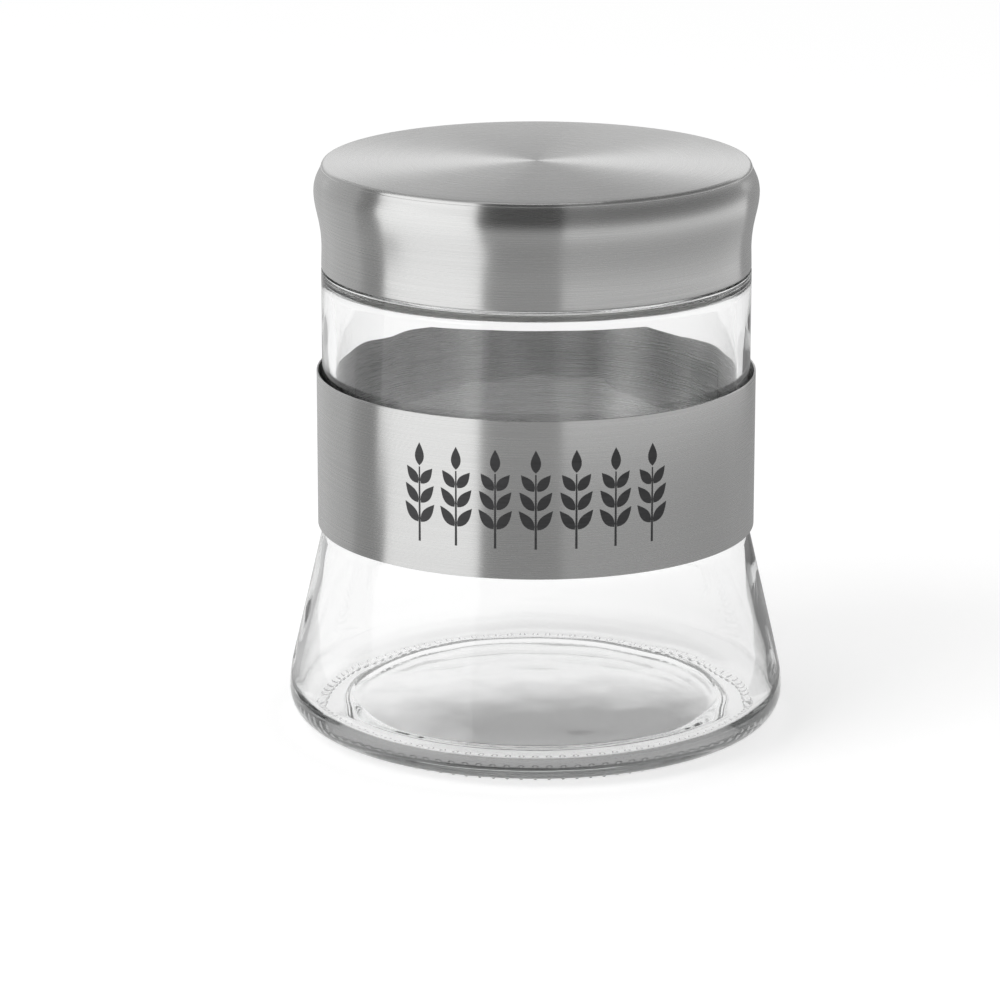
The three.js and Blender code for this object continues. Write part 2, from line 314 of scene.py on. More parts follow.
def level(first, last, steps):
    """A curve that is level at both ends."""
    shares = [step / steps for step in range(steps + 1)]
    return [
        (first[0] + (last[0] - first[0]) * t, first[1] + (last[1] - first[1]) * t * t * (3 - 2 * t))
        for t in shares
    ]


def rounded_ring(inner, outer, bottom, top, edge, steps):
    """The section of a flat ring, from its lower outer edge round to its lower inner edge."""
    corners = (
        (outer - edge, bottom + edge, -90),
        (outer - edge, top - edge, 0),
        (inner + edge, top - edge, 90),
        (inner + edge, bottom + edge, 180),
    )
    return [
        point for radius, height, start in corners
        for point in arc((radius, height), edge, start, start + 90, steps)
    ]


def apart(profile):
    """Drop points that repeat the one before."""
    return [p for i, p in enumerate(profile) if i == 0 or math.dist(p, profile[i - 1]) > SAME_POINT]


def turned(name, profile, segments, material):
    piece = new_piece(name, [(radius, 0, height) for radius, height in apart(profile)])
    follow(piece, TURNED_PIECE, segments=segments, material=material)
    return piece


print("profile helpers ready")

# %% [markdown]
# ## Brushed steel
# The lid and the band are sheet steel, brushed in one direction: round the axis on the upright walls, in
# rings on the lid's flat top. Brushing leaves fine grooves, so a reflection is smeared across them and
# stays sharp along them. Two things make that look. The shader's own anisotropy smears the reflection,
# with a tangent that runs round the z axis. A noise that is stretched round the axis and packed tight
# across it draws the single strokes as small changes of colour, roughness and height. On the band's inside
# the brushed colour gives way to painted shade and painted reflection: a darker, patchy colour that gets
# lighter to the right.


# %% Finish helpers
def new_material(name):
    material = bpy.data.materials.new(name)
    material.use_nodes = True
    return material, material.node_tree, material.node_tree.nodes["Principled BSDF"]


def object_place(tree):
    return tree.nodes.new("ShaderNodeTexCoord").outputs["Object"]


def noise(tree, vector, scale, detail=2.0, roughness=0.5):
    """A noise field between about 0.2 and 0.8."""
    made = add_node(
        tree, "ShaderNodeTexNoise", Vector=vector, Scale=scale, Detail=detail, Roughness=roughness,
    )
    return Field(tree, made.outputs[0])


def ranged(field, low, high):
    """Spread a noise field over low to high."""
    made = add_node(
        field.tree, "ShaderNodeMapRange", Value=field, From_Min=0.3, From_Max=0.7, To_Min=low, To_Max=high,
    )
    return Field(field.tree, made.outputs[0])


def mixed(tree, share, first, second):
    """A colour between two, each a plain colour or a socket."""
    made = add_node(tree, "ShaderNodeMix", {"data_type": "RGBA"})
    share_in, first_in, second_in = (made.inputs[place] for place in (0, 6, 7))
    feed(tree, share_in, share)
    feed(tree, first_in, first)
    feed(tree, second_in, second)
    return made.outputs[2]


def tinted(field, dark, light):
    """A colour between two, by a noise field."""
    return mixed(field.tree, ranged(field, 0.0, 1.0), (*dark, 1), (*light, 1))


def bumped(field, height):
    """A field as small rises of the surface, in millimetres."""
    made = add_node(field.tree, "ShaderNodeBump", Strength=1.0, Distance=height * MM, Height=field)
    return made.outputs[0]


print("finish helpers ready")

# %% Brushed steel
FINE_STROKES = 6500.0
FINE_STRETCH = 0.006  # how little a stroke changes along the brushing
BROAD_STROKES = 1300.0
BROAD_STRETCH = 0.02
FINE_SHARE = 0.8
# Painted shade and painted reflection on the band's inside: a darker, patchy colour, lighter to the right.
PAINTED_PATCH_SCALE = 55.0
PAINTED_PATCH_STRETCH = 0.1
PAINTED_LIGHT_SLOPE = 8.0  # painted light: the colour gets lighter to the right
PAINTED_LIGHT_SHIFT = 0.2
BAND_MIDDLE = 51.2  # radius between the band's two faces


def brushed_steel(name, painted_shade_radius=0.0):
    """Steel brushed round the z axis. Inside the given radius its colour is painted darker and patchy,
    lighter to the right: painted shade and painted reflection.
    """
    steel, tree, shader = new_material(name)
    x, y, z = split(tree, object_place(tree))
    radius = (x * x + y * y).math("SQRT")
    across = radius + z
    fine_place = combine(tree, x * FINE_STRETCH, y * FINE_STRETCH, across)
    broad_place = combine(tree, x * BROAD_STRETCH, y * BROAD_STRETCH, across)
    fine = noise(tree, fine_place, FINE_STROKES, roughness=0.6)
    broad = noise(tree, broad_place, BROAD_STROKES)
    strokes = fine * FINE_SHARE + broad * (1 - FINE_SHARE)
    brushed = tinted(strokes, dark=(0.615, 0.615, 0.61), light=(0.665, 0.665, 0.66))
    # Painted shade and painted reflection: the band's inside is coloured darker and patchy, lighter to the
    # right.
    painted_patch_noise = noise(tree, combine(tree, x, y, z * PAINTED_PATCH_STRETCH), PAINTED_PATCH_SCALE, detail=1.0)
    patches = painted_patch_noise + x * PAINTED_LIGHT_SLOPE - PAINTED_LIGHT_SHIFT
    painted_inside_shade = tinted(patches, dark=(0.22, 0.22, 0.22), light=(0.60, 0.60, 0.60))
    outside = radius.math("GREATER_THAN", painted_shade_radius * MM)
    feed(tree, shader.inputs["Base Color"], mixed(tree, outside, painted_inside_shade, brushed))
    feed(tree, shader.inputs["Roughness"], ranged(strokes, low=0.29, high=0.26))
    feed(tree, shader.inputs["Normal"], bumped(strokes, height=0.0008))
    tangent = add_node(tree, "ShaderNodeTangent", {"direction_type": "RADIAL", "axis": "Z"})
    feed(tree, shader.inputs["Tangent"], tangent.outputs[0])
    shader.inputs["Metallic"].default_value = 1.0
    shader.inputs["Anisotropic"].default_value = 0.94
    shader.inputs["Anisotropic Rotation"].default_value = 0.25
    return steel


LID_STEEL = brushed_steel("brushed_steel")
BAND_STEEL = brushed_steel("band_steel", BAND_MIDDLE)
print("finishes:", LID_STEEL.name, BAND_STEEL.name)

# %% [markdown]
# ## Clear glass
# Soda-lime glass bends light with an index of about 1.52. Pressed glass is never quite even, so a slow
# noise tilts its surface by a hair, enough to make what lies behind it waver. The glass also takes a
# little light on the way: looking along a wall the path is ten times as long as looking through it, which
# is why edges look grey. Where light is caught in the foot and mirrored there, the glass colour is darkened
# each time it meets the skin: painted shade, which the Light Path node holds to such light, and which
# makes the dark line along the heel.

# %% Clear glass
HEEL_PAINTED_SHADE = 0.85  # painted shade: how much darker the glass is drawn for light caught in the foot
ONE_WALL = 1.5  # light that went into the glass once, and not yet out
FOOT_TOP = 14.0
FOOT_FADE = 5.0


def clear_glass():
    glass, tree, shader = new_material("clear_glass")
    place = object_place(tree)
    waves = noise(tree, place, scale=45.0, detail=1.0)
    feed(tree, shader.inputs["Normal"], bumped(waves, height=0.4))
    light_path = tree.nodes.new("ShaderNodeLightPath")
    bounces = Field(tree, light_path.outputs["Glossy Depth"])
    inside = Field(tree, light_path.outputs["Transmission Depth"]).math("LESS_THAN", ONE_WALL)
    height = split(tree, place)[2] / MM
    in_foot = ((height * -1 + FOOT_TOP) / FOOT_FADE).clamped()
    # Painted shade: the colour is darkened for light caught in the foot, to draw the dark line along the
    # heel.
    caught = bounces.math("MINIMUM", 1.0) * inside * in_foot
    heel_shade_colour = caught * -HEEL_PAINTED_SHADE + 1.0
    feed(tree, shader.inputs["Base Color"], combine(tree, heel_shade_colour, heel_shade_colour, heel_shade_colour))
    shader.inputs["Roughness"].default_value = 0.0
    shader.inputs["IOR"].default_value = 1.52
    shader.inputs["Transmission Weight"].default_value = 1.0
    absorption = add_node(
        tree, "ShaderNodeVolumeAbsorption", Color=(0.50, 0.53, 0.52, 1), Density=8.0,
    )
    tree.links.new(absorption.outputs[0], tree.nodes["Material Output"].inputs["Volume"])
    return glass


GLASS = clear_glass()
print("finish:", GLASS.name)

# %% [markdown]
# ## Plastic, silicone, tape and ink
# The hidden pieces show when the lid comes off. The insert is a satin white moulding with a very fine
# texture, the sealing ring is milky silicone, and the tape is a clear film with a slight haze. The print
# on the band is a matt charcoal ink, a little uneven where the steel's strokes show through.


# %% Plastic, silicone, tape and ink
def satin_insert():
    plastic, tree, shader = new_material("satin_plastic")
    place = object_place(tree)
    grain = noise(tree, place, scale=2600.0)
    cloud = noise(tree, place, scale=40.0)
    colour = tinted(cloud, dark=(0.87, 0.87, 0.85), light=(0.91, 0.91, 0.89))
    feed(tree, shader.inputs["Base Color"], colour)
    feed(tree, shader.inputs["Roughness"], ranged(grain, low=0.34, high=0.48))
    feed(tree, shader.inputs["Normal"], bumped(grain, height=0.01))
    return plastic


def milky_silicone():
    silicone, tree, shader = new_material("milky_silicone")
    place = object_place(tree)
    grain = noise(tree, place, scale=1500.0)
    cloud = noise(tree, place, scale=90.0)
    colour = tinted(cloud, dark=(0.80, 0.80, 0.78), light=(0.85, 0.85, 0.83))
    feed(tree, shader.inputs["Base Color"], colour)
    feed(tree, shader.inputs["Roughness"], ranged(grain, low=0.48, high=0.62))
    feed(tree, shader.inputs["Normal"], bumped(grain, height=0.02))
    shader.inputs["Subsurface Weight"].default_value = 0.25
    shader.inputs["Subsurface Radius"].default_value = (0.002, 0.002, 0.002)
    shader.inputs["Subsurface Scale"].default_value = 1.0
    return silicone


def clear_tape():
    tape, tree, shader = new_material("clear_tape")
    haze = noise(tree, object_place(tree), scale=350.0, detail=4.0)
    colour = tinted(haze, dark=(0.78, 0.80, 0.79), light=(0.86, 0.87, 0.86))
    feed(tree, shader.inputs["Base Color"], colour)
    feed(tree, shader.inputs["Roughness"], ranged(haze, low=0.04, high=0.10))
    shader.inputs["IOR"].default_value = 1.2
    shader.inputs["Transmission Weight"].default_value = 1.0
    return tape


def charcoal_ink():
    ink, tree, shader = new_material("charcoal_ink")
    x, y, z = split(tree, object_place(tree))
    stretch = 0.03
    strokes = noise(tree, combine(tree, x * stretch, y * stretch, z), scale=2400.0)
    colour = tinted(strokes, dark=(0.022, 0.022, 0.023), light=(0.038, 0.038, 0.040))
    feed(tree, shader.inputs["Base Color"], colour)
    feed(tree, shader.inputs["Roughness"], ranged(strokes, low=0.42, high=0.56))
    return ink


PLASTIC = satin_insert()
SILICONE = milky_silicone()
TAPE = clear_tape()
INK = charcoal_ink()
print("finishes:", PLASTIC.name, SILICONE.name, TAPE.name, INK.name)

# %% [markdown]
# ## The screw thread
# Jar threads are short ridges that start at several places round the neck. A ridge could be modelled as a
# swept strip and joined on, but a rule is shorter: for any point of the neck wall, find how far it is from
# the nearest helix, and push it out by the ridge's section there. The rule needs the helix's lead, the
# number of starts and the height where the ridges begin; wrapping the distance by lead over starts finds
# the nearest one.

# %% The thread tree
WALL_REACH = 0.05  # a point this close to the root radius is on the wall
AXIS_REACH = 1.0  # a point this close to the axis is left alone


def thread_tree():
    tree, given, size = geometry_tree(
        "Screw thread", "Root radius", "Depth", "Start height", "Lead", "Starts", "Sweep", "Root width",
        "Crest width", "Fade", "Material",
    )
    x, y, z = split(tree, tree.nodes.new("GeometryNodeInputPosition").outputs[0])
    radius = (x * x + y * y).math("SQRT")
    angle = y.math("ARCTAN2", x)
    half_pitch = size["Lead"] / size["Starts"] * 0.5
    from_start = z - size["Start height"]
    climbed = from_start - size["Lead"] * angle / math.tau
    off_helix = climbed.math("WRAP", half_pitch, half_pitch * -1.0)
    share = (from_start - off_helix) / (size["Lead"] * size["Sweep"] / 360)
    near_end = share.math("MINIMUM", share * -1.0 + 1)
    fade = (near_end / size["Fade"]).clamped()
    flank = (size["Root width"] - size["Crest width"]) * 0.5
    section = ((size["Root width"] * 0.5 - off_helix.math("ABSOLUTE")) / flank).clamped()
    from_wall = (radius - size["Root radius"]).math("ABSOLUTE")
    on_wall = from_wall.math("LESS_THAN", WALL_REACH * MM)
    raised = radius + size["Depth"] * section * fade * on_wall
    stretch = raised / radius.math("MAXIMUM", AXIS_REACH * MM)
    moved = add_node(
        tree, "GeometryNodeSetPosition", Geometry=given["Geometry"],
        Selection=radius.math("GREATER_THAN", AXIS_REACH * MM),
        Position=combine(tree, x * stretch, y * stretch, z),
    )
    give_out(tree, moved.outputs[0], given["Material"])
    return tree


SCREW_THREAD = thread_tree()
print("Screw thread tree:", len(SCREW_THREAD.nodes), "nodes")

# %% Thread sizes
THREAD_LEAD = 24
THREAD_STARTS = 4
THREAD_SWEEP = 100.0  # degrees round the neck
THREAD_DEPTH = 1.4
THREAD_ROOT = 2.1
THREAD_CREST = 1.1
THREAD_FADE = 0.15  # share of a ridge's length that each end takes to rise


def cut_thread(piece, root_radius, depth, start_height, material):
    """Raise the ridges on a wall; a negative depth raises them towards the axis."""
    follow(
        piece, SCREW_THREAD, root_radius=root_radius * MM, depth=depth * MM,
        start_height=start_height * MM, lead=THREAD_LEAD * MM, starts=THREAD_STARTS, sweep=THREAD_SWEEP,
        root_width=THREAD_ROOT * MM, crest_width=THREAD_CREST * MM, fade=THREAD_FADE, material=material,
    )


print(f"thread: {THREAD_STARTS} starts, lead {THREAD_LEAD} mm")

# %% [markdown]
# ## The bumps under the foot
# The jar stands on a ring of small glass beads, longer towards the axis than along the ring, which keep the
# hot foot off the belt in the works. They repeat a hundred times, so one bead is placed on the points of a
# circle. A union with the jar makes them one glass body: two overlapping glass shells would show a false
# surface between them.


# %% The bead ring tree
def bead_ring_tree():
    tree, given, size = geometry_tree(
        "Bead ring", "Count", "Ring radius", "Bead length", "Bead width", "Bead height", "Material",
    )
    ring = add_node(
        tree, "GeometryNodeMeshCircle", Vertices=size["Count"], Radius=size["Ring radius"],
    )
    bead = add_node(tree, "GeometryNodeMeshIcoSphere", Radius=1.0, Subdivisions=2)
    lifted = add_node(
        tree, "GeometryNodeTransform", Geometry=bead.outputs["Mesh"],
        Translation=combine(tree, 0.0, 0.0, size["Bead height"]),
        Scale=combine(tree, size["Bead length"] * 0.5, size["Bead width"] * 0.5, size["Bead height"]),
    )
    outwards = add_node(
        tree, "FunctionNodeAlignRotationToVector", {"axis": "X", "pivot_axis": "Z"},
        Vector=tree.nodes.new("GeometryNodeInputPosition").outputs[0],
    )
    beads = add_node(
        tree, "GeometryNodeInstanceOnPoints", Points=ring.outputs[0], Instance=lifted.outputs[0],
        Rotation=outwards.outputs[0],
    )
    real = add_node(tree, "GeometryNodeRealizeInstances", Geometry=beads.outputs[0])
    union = add_node(tree, "GeometryNodeMeshBoolean", {"operation": "UNION", "solver": "MANIFOLD"})
    tree.links.new(given["Geometry"], union.inputs["Mesh 2"])
    tree.links.new(real.outputs[0], union.inputs["Mesh 2"])
    give_out(tree, union.outputs[0], given["Material"])
    return tree


BEAD_RING = bead_ring_tree()
print("Bead ring tree:", len(BEAD_RING.nodes), "nodes")

# %% [markdown]
# ## The glass body
# One profile draws the whole glass: the hollow underneath, the bearing ring, the rounded heel, the flare
# that leans in to the straight wall, the shoulder, the neck with its rim, and the inside back down to the
# floor. The flare is the straight line that touches two circles, the foot's crown and the blend into the
# wall, so its lean follows from them. Inside, the same line runs one wall further in.

# %% Glass sizes
BODY_RADIUS = 50.1
BODY_WALL = 3.2
FLARE_WALL = 2.6
FLARE_TOP = 49.0
FOOT_RADIUS = 58.5
BLEND_RADIUS = 16.0
CROWN_RADIUS = 28.0
HEEL_RADIUS = 6.5
BEARING = 1.1  # height of the bearing ring, and of the beads below it
BEARING_WIDTH = 7.0
HOLLOW_RADIUS = 43.0
HOLLOW_EDGE = 2.5
HOLLOW_TOP = 3.1
HOLLOW_STEPS = 10
FLOOR = 4.6
FLOOR_CORNER_RADIUS = 5.0
DISC = 5.9  # inside, the floor stands up over the hollow as a round disc
DISC_SLOPE = 3.5
SHOULDER = 109.0
SHOULDER_RADIUS = 0.4
SHOULDER_CURVE_BOTTOM = 104.2
SHOULDER_CURVE_TOP = 111.0
SHOULDER_CURVE_REACHES = (0.4, 0.65)
NECK_RADIUS = 45.7
NECK_STEPS = 52  # fine enough for the thread
BORE_RADIUS = 42.7
NECK_FILLET = 2.5
RIM = 129.5
RIM_RADIUS = 1.2
GLASS_SEGMENTS = 256
print(f"glass: {2 * FOOT_RADIUS:.1f} mm across the foot, {2 * BODY_RADIUS:.1f} mm across the wall")


# %% Glass profile
def glass_profile():
    heel = (FOOT_RADIUS - HEEL_RADIUS, BEARING + HEEL_RADIUS)
    crown = (FOOT_RADIUS - CROWN_RADIUS, heel[1])
    blend = (BODY_RADIUS + BLEND_RADIUS, FLARE_TOP)
    across = math.hypot(blend[0] - crown[0], blend[1] - crown[1])
    crown_to_blend = math.atan2(blend[1] - crown[1], blend[0] - crown[0])
    lean = crown_to_blend - math.acos((CROWN_RADIUS + BLEND_RADIUS) / across)
    normal = (math.cos(lean), math.sin(lean))
    degrees = math.degrees(lean)

    inner_line = crown[0] * normal[0] + crown[1] * normal[1] + CROWN_RADIUS - FLARE_WALL
    inner_radius = BODY_RADIUS - BODY_WALL
    inner_blend_radius = BLEND_RADIUS + BODY_WALL
    inner_blend_x = inner_radius + inner_blend_radius
    inner_blend = (
        inner_blend_x, (inner_line + inner_blend_radius - inner_blend_x * normal[0]) / normal[1],
    )
    corner_height = FLOOR + FLOOR_CORNER_RADIUS
    corner = (
        (inner_line - FLOOR_CORNER_RADIUS - corner_height * normal[1]) / normal[0], corner_height,
    )

    bearing_inner = heel[0] - BEARING_WIDTH
    hollow = [
        (HOLLOW_RADIUS * t, HOLLOW_TOP - (HOLLOW_TOP - HOLLOW_EDGE) * t * t)
        for t in (step / HOLLOW_STEPS for step in range(HOLLOW_STEPS + 1))
    ]
    hollow_step = level((HOLLOW_RADIUS, HOLLOW_EDGE), (bearing_inner, BEARING), steps=8)
    heel_arc = arc(heel, HEEL_RADIUS, -90, 0, steps=14)
    crown_arc = arc(crown, CROWN_RADIUS, 0, degrees, steps=8)
    blend_arc = arc(blend, BLEND_RADIUS, 180 + degrees, 180, steps=10)
    shoulder = (BODY_RADIUS - SHOULDER_RADIUS, SHOULDER - SHOULDER_RADIUS)
    shoulder_arc = arc(shoulder, SHOULDER_RADIUS, 0, 90, steps=8)
    fillet = arc((NECK_RADIUS + NECK_FILLET, SHOULDER + NECK_FILLET), NECK_FILLET, 270, 180, steps=5)
    rim_height = RIM - RIM_RADIUS
    rim_outer = arc((NECK_RADIUS - RIM_RADIUS, rim_height), RIM_RADIUS, 0, 90, steps=6)
    rim_inner = arc((BORE_RADIUS + RIM_RADIUS, rim_height), RIM_RADIUS, 90, 180, steps=6)
    inner_shoulder = upright(
        (BORE_RADIUS, SHOULDER_CURVE_TOP), (inner_radius, SHOULDER_CURVE_BOTTOM),
        SHOULDER_CURVE_REACHES, steps=20,
    )
    inner_blend_arc = arc(inner_blend, inner_blend_radius, 180, 180 + degrees, steps=10)
    corner_arc = arc(corner, FLOOR_CORNER_RADIUS, degrees, -90, steps=14)
    disc_step = level((HOLLOW_RADIUS + DISC_SLOPE, FLOOR), (HOLLOW_RADIUS, DISC), steps=12)
    print(f"flare leans {degrees:.1f} degrees, floor corner at radius {corner[0]:.1f}")
    return [
        *hollow, *hollow_step, *run(hollow_step[-1], heel_arc[0], steps=4),
        *heel_arc, *crown_arc, *run(crown_arc[-1], blend_arc[0], steps=5),
        *blend_arc, *run(blend_arc[-1], shoulder_arc[0], steps=8),
        *shoulder_arc, *run(shoulder_arc[-1], fillet[0], steps=3),
        *fillet, *run(fillet[-1], rim_outer[0], NECK_STEPS), *rim_outer, *rim_inner,
        *run(rim_inner[-1], inner_shoulder[0], steps=4), *inner_shoulder,
        *run(inner_shoulder[-1], inner_blend_arc[0], steps=8), *inner_blend_arc,
        *run(inner_blend_arc[-1], corner_arc[0], steps=4), *corner_arc, *disc_step,
        *run(disc_step[-1], (0, DISC), steps=6), (0, DISC),
    ]


# %% Glass body
NECK_THREAD_START = 117.13
BEAD_COUNT = 100
BEAD_LENGTH = 3.0
BEAD_WIDTH = 1.6
BEAD_RING_RADIUS = FOOT_RADIUS - HEEL_RADIUS - BEAD_LENGTH / 2

jar_glass = turned("jar_glass", glass_profile(), GLASS_SEGMENTS, GLASS)
cut_thread(jar_glass, NECK_RADIUS, THREAD_DEPTH, NECK_THREAD_START, GLASS)
follow(
    jar_glass, BEAD_RING, count=BEAD_COUNT, ring_radius=BEAD_RING_RADIUS * MM,
    bead_length=BEAD_LENGTH * MM, bead_width=BEAD_WIDTH * MM, bead_height=BEARING * MM, material=GLASS,
)
settle(jar_glass)
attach(jar_glass, "jar")
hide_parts("glass_jar")

# %% [markdown]
# ## The steel band
# The band is a ring of thin sheet that stands a millimetre off the glass. Its edges were rolled over a hair
# so that they don't cut, and that tiny round is what catches the light along the top and bottom edge.

# %% Steel band
BAND_INNER = 51.0
BAND_OUTER = 51.4
BAND_BOTTOM = 47.9
BAND_TOP = 84.8
BAND_EDGE = 0.15
STEEL_SEGMENTS = 288

band_profile = rounded_ring(BAND_INNER, BAND_OUTER, BAND_BOTTOM, BAND_TOP, BAND_EDGE, steps=3)
waist_band = turned("waist_band", band_profile + band_profile[:1], STEEL_SEGMENTS, BAND_STEEL)
settle(waist_band)
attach(waist_band, "jar")
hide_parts("steel_band")

# %% [markdown]
# ## The lid's shell
# The shell was drawn from one sheet: a flat top, a shoulder that swells out, a skirt that draws in to a
# waist, and a lower edge folded in under the insert. The outside is drawn as the profile says, and the
# inside runs one sheet thickness further in. A small round at the top edge draws the thin dark line that
# separates top from side.

# %% Lid sizes
LID_BOTTOM = 109.4
LID_TOP = 134.0
SHEET = 0.5
WAIST_RADIUS = 49.95
WAIST = 114.0
TOP_EDGE_RADIUS = 49.85
BULGE_RADIUS = 51.7
BULGE = 127.3
BULGE_REACHES = (0.33, 0.52)
SKIRT_REACHES = (0.3, 0.5)
HEM_RADIUS = 50.05
HEM_INNER = 48.05
HEM_ROUND = 0.4
TOP_ROUND = 0.9
TOP_RINGS = (45, 36, 27, 18, 9, 3, 0)
CEILING_RINGS = (0, 15, 30, 42)
print(f"lid: {2 * BULGE_RADIUS:.1f} mm across, {LID_TOP - LID_BOTTOM:.1f} mm high")


# %% Lid shell
def shell_side(inset, steps):
    """The side from the top edge down to the waist, on the outside or one sheet in."""
    top = (TOP_EDGE_RADIUS - inset, LID_TOP - inset)
    bulge = (BULGE_RADIUS - inset, BULGE)
    waist = (WAIST_RADIUS - inset, WAIST)
    return upright(top, bulge, BULGE_REACHES, steps) + upright(bulge, waist, SKIRT_REACHES, steps)


def shell_profile():
    inside = shell_side(SHEET, steps=12)
    outside = shell_side(0, steps=26)
    outside.reverse()
    while outside[-1][1] > LID_TOP - TOP_ROUND:
        outside.pop()
    fold = SHEET / 2
    lip = [
        (HEM_RADIUS - SHEET, LID_BOTTOM + SHEET),
        *arc((HEM_INNER + fold, LID_BOTTOM + fold), fold, 90, 270, steps=6),
    ]
    hem = arc((HEM_RADIUS - HEM_ROUND, LID_BOTTOM + HEM_ROUND), HEM_ROUND, -90, 0, steps=6)
    edge = arc((TOP_EDGE_RADIUS - TOP_ROUND, LID_TOP - TOP_ROUND), TOP_ROUND, 0, 90, steps=10)
    flat = [(radius, LID_TOP) for radius in TOP_RINGS]
    ceiling = [(radius, LID_TOP - SHEET) for radius in CEILING_RINGS]
    skirt = run(hem[-1], outside[0], steps=6)
    return [*ceiling, *inside, *lip, *hem, *skirt, *outside, *edge, *flat]


lid_cap = turned("lid_cap", shell_profile(), STEEL_SEGMENTS, LID_STEEL)
settle(lid_cap)
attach(lid_cap, "lid")
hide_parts("lid_shell")

# %% [markdown]
# ## The lid's insert
# Steel this thin can't carry a good thread, so a plastic cup inside the shell does. It takes the same
# thread rule as the neck, turned towards the axis and a little lower, so that the ridges of the lid sit
# under those of the glass. A small ridge below the ceiling keeps the sealing ring from falling out.

# %% Lid insert
INSERT_BOTTOM = 110.2
INSERT_TOP = 133.2
INSERT_CEILING = 131.7
INSERT_INNER = 47.8
INSERT_OUTER = 49.15
INSERT_ROUND = 0.5
INSERT_TOP_ROUND = 1.0
INSERT_STEPS = 60  # fine enough for the thread
INSERT_THREAD_START = 115.23
SEAL_BOTTOM = 129.8
RETAINER_GAP = 0.3
RETAINER_DEPTH = 1.1
RETAINER_HEIGHT = 1.4
RETAINER_STEPS = 10


def insert_profile():
    retainer_top = SEAL_BOTTOM - RETAINER_GAP
    retainer = [
        (INSERT_INNER - RETAINER_DEPTH * math.sin(math.pi * share), retainer_top - RETAINER_HEIGHT * share)
        for share in (step / RETAINER_STEPS for step in range(RETAINER_STEPS + 1))
    ]
    wall_top = (INSERT_INNER, retainer_top - RETAINER_HEIGHT)
    foot = INSERT_BOTTOM + INSERT_ROUND
    foot_inner = arc((INSERT_INNER + INSERT_ROUND, foot), INSERT_ROUND, 180, 270, steps=5)
    foot_outer = arc((INSERT_OUTER - INSERT_ROUND, foot), INSERT_ROUND, 270, 360, steps=5)
    top_centre = (INSERT_OUTER - INSERT_TOP_ROUND, INSERT_TOP - INSERT_TOP_ROUND)
    top = arc(top_centre, INSERT_TOP_ROUND, 0, 90, steps=6)
    return [
        *((radius, INSERT_CEILING) for radius in CEILING_RINGS), (INSERT_INNER, INSERT_CEILING), *retainer,
        *run(wall_top, foot_inner[0], INSERT_STEPS), *foot_inner, *foot_outer, *top,
        *((radius, INSERT_TOP) for radius in reversed(CEILING_RINGS)),
    ]


lid_liner = turned("lid_liner", insert_profile(), GLASS_SEGMENTS, PLASTIC)
cut_thread(lid_liner, INSERT_INNER, -THREAD_DEPTH, INSERT_THREAD_START, PLASTIC)
settle(lid_liner)
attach(lid_liner, "lid")
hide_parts("lid_insert")

# %% [markdown]
# ## The sealing ring
# A flat silicone washer with rounded edges and a shallow groove where the rim presses. It rises with the
# lid and doesn't turn: as the lid screws down, the ring stays still on the rim, as a slip liner does.

# %% Sealing ring
SEAL_INNER = 43.0
SEAL_OUTER = 47.3
SEAL_TOP = 131.4
SEAL_ROUND = 0.4
SEAL_SEGMENTS = 192
GROOVE_WIDTH = 3.0
GROOVE_DEPTH = 0.15
GROOVE_STEPS = 8
GROOVE_FIRST = 3  # the steps before it would lie in the ring's rounded edge


def seal_profile():
    ring = rounded_ring(SEAL_INNER, SEAL_OUTER, SEAL_BOTTOM, SEAL_TOP, SEAL_ROUND, steps=5)
    groove = [
        (BORE_RADIUS + GROOVE_WIDTH * share, SEAL_BOTTOM + GROOVE_DEPTH * math.sin(math.pi * share))
        for share in (step / GROOVE_STEPS for step in range(GROOVE_FIRST, GROOVE_STEPS + 1))
    ]
    return ring + groove + ring[:1]


sealing_ring = turned("sealing_ring", seal_profile(), SEAL_SEGMENTS, SILICONE)
settle(sealing_ring)
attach(sealing_ring, "seal")
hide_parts("lid_seal")

# %% [markdown]
# ## The tape
# The three strips of tape have the right shape in the CAD model already, so they stay and only get their
# finish.

# %% Tape
for name in ("band_tape_front", "band_tape_right", "band_tape_left"):
    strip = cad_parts[name]
    strip.data.materials.clear()
    strip.data.materials.append(TAPE)
print("tape finish on three strips")

# %% [markdown]
# ## The print on the band
# The band carries a plain row of leaf sprigs in dark ink. One sprig is drawn flat first: a stem and pairs
# of pointed leaves, each leaf two strips of quads along its midrib. Geometry nodes set the sprigs in a row
# and roll the row round the band, so that its curve follows the steel. A Solidify modifier gives the ink
# its body.

# %% One sprig
SPRIG_HEIGHT = 23.0
STEM_WIDTH = 0.55
STEM_TAPER = 0.4
STEM_STEPS = 12
LEAF_WIDTH = 2.3
LEAF_STEPS = 10
LEAF_SWELL = 0.8  # below 1 the widest place lies nearer the leaf's foot
LEAF_TIP = 0.02  # half the width at the tip
LEAF_GAP = 0.1  # between the stem and a leaf's foot
LEAF_PAIRS = ((4.5, 5.6), (9.0, 5.4), (13.5, 4.8))  # height on the stem, length
LEAF_TILT = 38.0
TOP_LEAF = 5.3
TOP_LEAF_GAP = 0.3


def leaf(foot, length, tilt):
    """A pointed leaf from its foot, as two strips along the midrib."""
    turn = math.radians(tilt)
    along = (math.sin(turn), math.cos(turn))
    side = (math.cos(turn), -math.sin(turn))
    points = []
    for step in range(LEAF_STEPS + 1):
        t = step / LEAF_STEPS
        half = LEAF_WIDTH / 2 * math.sin(math.pi * t ** LEAF_SWELL) + LEAF_TIP
        for offset in (-half, 0, half):
            points.append((
                foot[0] + along[0] * length * t + side[0] * offset, 0,
                foot[1] + along[1] * length * t + side[1] * offset,
            ))
    return points


def strip_faces(first, rows, columns):
    """Quads between rows of points that were added one after another."""
    faces = []
    for row in range(rows - 1):
        for column in range(columns - 1):
            here = first + row * columns + column
            faces.append((here, here + 1, here + columns + 1, here + columns))
    return faces


